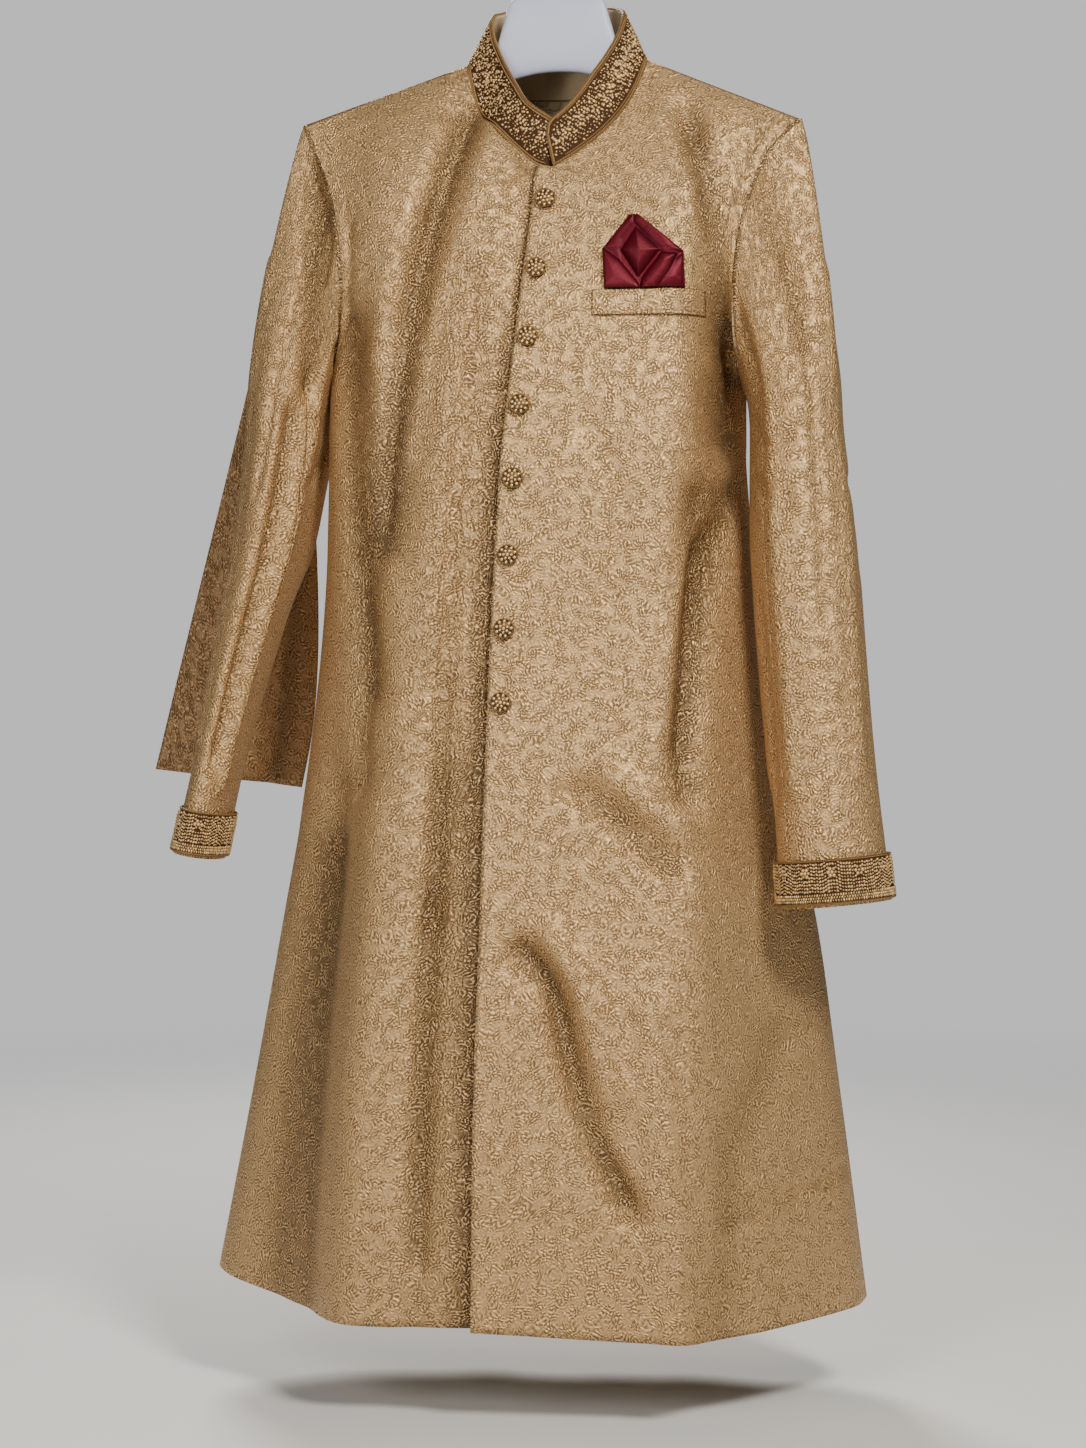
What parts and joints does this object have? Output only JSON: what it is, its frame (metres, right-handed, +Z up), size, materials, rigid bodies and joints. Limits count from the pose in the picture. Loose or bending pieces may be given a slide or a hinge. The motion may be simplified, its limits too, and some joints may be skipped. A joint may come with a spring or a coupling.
{
  "type": "sherwani coat on a clothes hanger",
  "caption": "Knee-length brocade sherwani coat with a beaded band collar, beaded cuffs and a pocket square, hanging on a moulded hanger with a steel hook.",
  "frame": {"origin": "inside the top of the hanger hook's bend, where a rail carries the coat", "axes": "+Z up; the coat's front faces -Y; the wearer's left side is at +X; a rail under the hook runs along Y"},
  "size_m": [0.6904, 0.3016, 1.2448],
  "materials": {
    "brocade": "woven gold-beige brocade, silky",
    "embroidery": "brown ground closely set with gold beads and cord",
    "button_metal": "antiqued, set with beads",
    "satin": "satin",
    "moulded_plastic": "pale, smooth",
    "steel": "bright plated wire",
    "brass": "polished"
  },
  "bodies": {
    "root": {"back": "brocade", "button_1": "button_metal", "button_2": "button_metal", "button_3": "button_metal", "button_4": "button_metal", "button_5": "button_metal", "button_6": "button_metal", "button_7": "button_metal", "button_8": "button_metal", "collar_band": "embroidery", "hanger": "moulded_plastic", "hanging_panel": "brocade", "hook": "steel", "hook_ferrule": "brass", "left_cuff_band": "embroidery", "left_front": "brocade", "left_top_sleeve": "brocade", "left_under_sleeve": "brocade", "pocket_square": "satin", "pocket_welt": "brocade", "right_cuff_band": "embroidery", "right_front": "brocade", "right_top_sleeve": "brocade", "right_under_sleeve": "brocade"}
  },
  "joints": []
}
